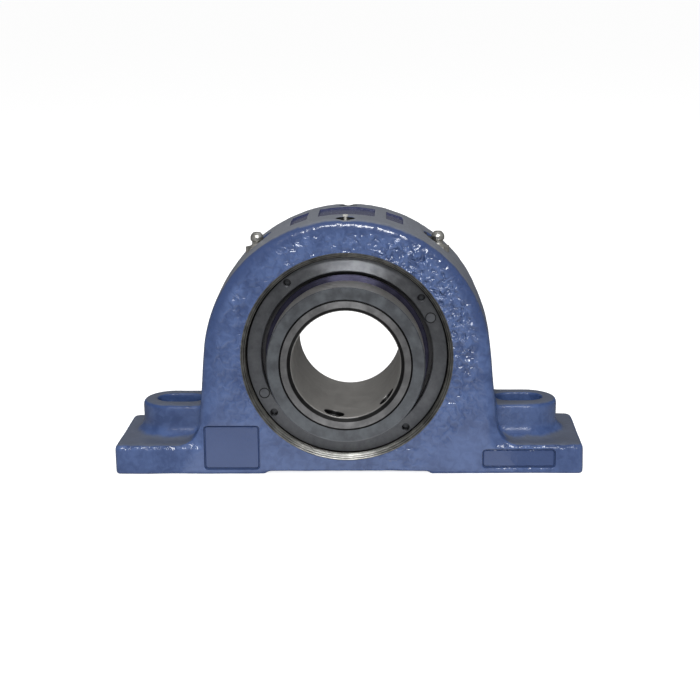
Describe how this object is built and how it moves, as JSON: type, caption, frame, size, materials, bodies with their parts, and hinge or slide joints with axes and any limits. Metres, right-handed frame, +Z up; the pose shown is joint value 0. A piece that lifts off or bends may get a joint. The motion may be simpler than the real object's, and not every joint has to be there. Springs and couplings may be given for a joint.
{
  "type": "pillow block bearing",
  "caption": "Cast two-bolt pillow block with a self-aligning double-row roller bearing, threaded covers and a set-screw locking collar.",
  "frame": {"origin": "on the underside, below the shaft axis, half way through the housing", "axes": "+Z up, +X along the base, +Y along the shaft and away from the locking collar"},
  "size_m": [0.2242, 0.0719, 0.1242],
  "materials": {
    "enamelled_casting": "blue enamel over rough sand-cast iron",
    "black_oxide_steel": "turned steel, black oxide",
    "plug_steel": "dark steel plug, flush",
    "zinc_plated_steel": "zinc-plated steel",
    "seal_rubber": "black nitrile rubber",
    "blued_sheet_steel": "pressed sheet steel, dark blued",
    "bearing_steel": "ground bearing steel",
    "bronze": "machined bronze",
    "dark_ring_steel": "ground steel, dark oxide",
    "black_screw_steel": "alloy steel, black oxide",
    "spring_steel": "drawn spring wire"
  },
  "bodies": {
    "block": {"housing": "enamelled_casting", "front_cover": "black_oxide_steel", "rear_cover": "black_oxide_steel", "front_cover_plugs": "plug_steel", "rear_cover_plugs": "plug_steel", "front_lock_pin": "zinc_plated_steel", "rear_lock_pin": "zinc_plated_steel", "front_seal": "seal_rubber", "rear_seal": "seal_rubber", "outer_ring": "bearing_steel", "grease_fitting_left": "zinc_plated_steel", "grease_fitting_right": "zinc_plated_steel", "check_spring_left": "spring_steel", "check_spring_right": "spring_steel"},
    "guide": {"guide_ring": "bronze"},
    "shaft_unit": {"inner_ring": "dark_ring_steel", "locking_collar": "black_oxide_steel", "front_slinger": "blued_sheet_steel", "rear_slinger": "blued_sheet_steel"},
    "front_row": {"front_cage": "bronze", "front_rollers": "bearing_steel"},
    "rear_row": {"rear_cage": "bronze", "rear_rollers": "bearing_steel"},
    "left_screw": {"set_screw_left": "black_screw_steel"},
    "right_screw": {"set_screw_right": "black_screw_steel"},
    "left_check": {"check_ball_left": "bearing_steel"},
    "right_check": {"check_ball_right": "bearing_steel"}
  },
  "joints": [
    {"name": "alignment_tilt", "type": "hinge", "parent": "block", "child": "guide", "pos_m": [0, 0, 0.05715], "axis": [1, 0, 0], "range_deg": [-1, 1]},
    {"name": "shaft_spin", "type": "hinge", "parent": "guide", "child": "shaft_unit", "pos_m": [0, 0, 0.05715], "axis": [0, 1, 0], "continuous": true},
    {"name": "front_row_orbit", "type": "hinge", "parent": "guide", "child": "front_row", "pos_m": [0, 0, 0.05715], "axis": [0, 1, 0], "continuous": true},
    {"name": "rear_row_orbit", "type": "hinge", "parent": "guide", "child": "rear_row", "pos_m": [0, 0, 0.05715], "axis": [0, 1, 0], "continuous": true},
    {"name": "left_screw_drive", "type": "slide", "parent": "shaft_unit", "child": "left_screw", "axis": [0.2334, 0, 0.9724], "range_m": [-0.003, 0.0016]},
    {"name": "right_screw_drive", "type": "slide", "parent": "shaft_unit", "child": "right_screw", "axis": [-0.749, 0, 0.6626], "range_m": [-0.003, 0.0016]},
    {"name": "left_check_lift", "type": "slide", "parent": "block", "child": "left_check", "axis": [0, 0, -1], "range_m": [0, 0.0008], "stiffness_N_per_m": 200, "springref_m": -0.002, "deforming": ["check_spring_left"]},
    {"name": "right_check_lift", "type": "slide", "parent": "block", "child": "right_check", "axis": [0, 0, -1], "range_m": [0, 0.0008], "stiffness_N_per_m": 200, "springref_m": -0.002, "deforming": ["check_spring_right"]}
  ],
  "couplings": [
    {"joint": "front_row_orbit", "follows": "shaft_spin", "ratio": 0.4274},
    {"joint": "rear_row_orbit", "follows": "shaft_spin", "ratio": 0.4274}
  ]
}
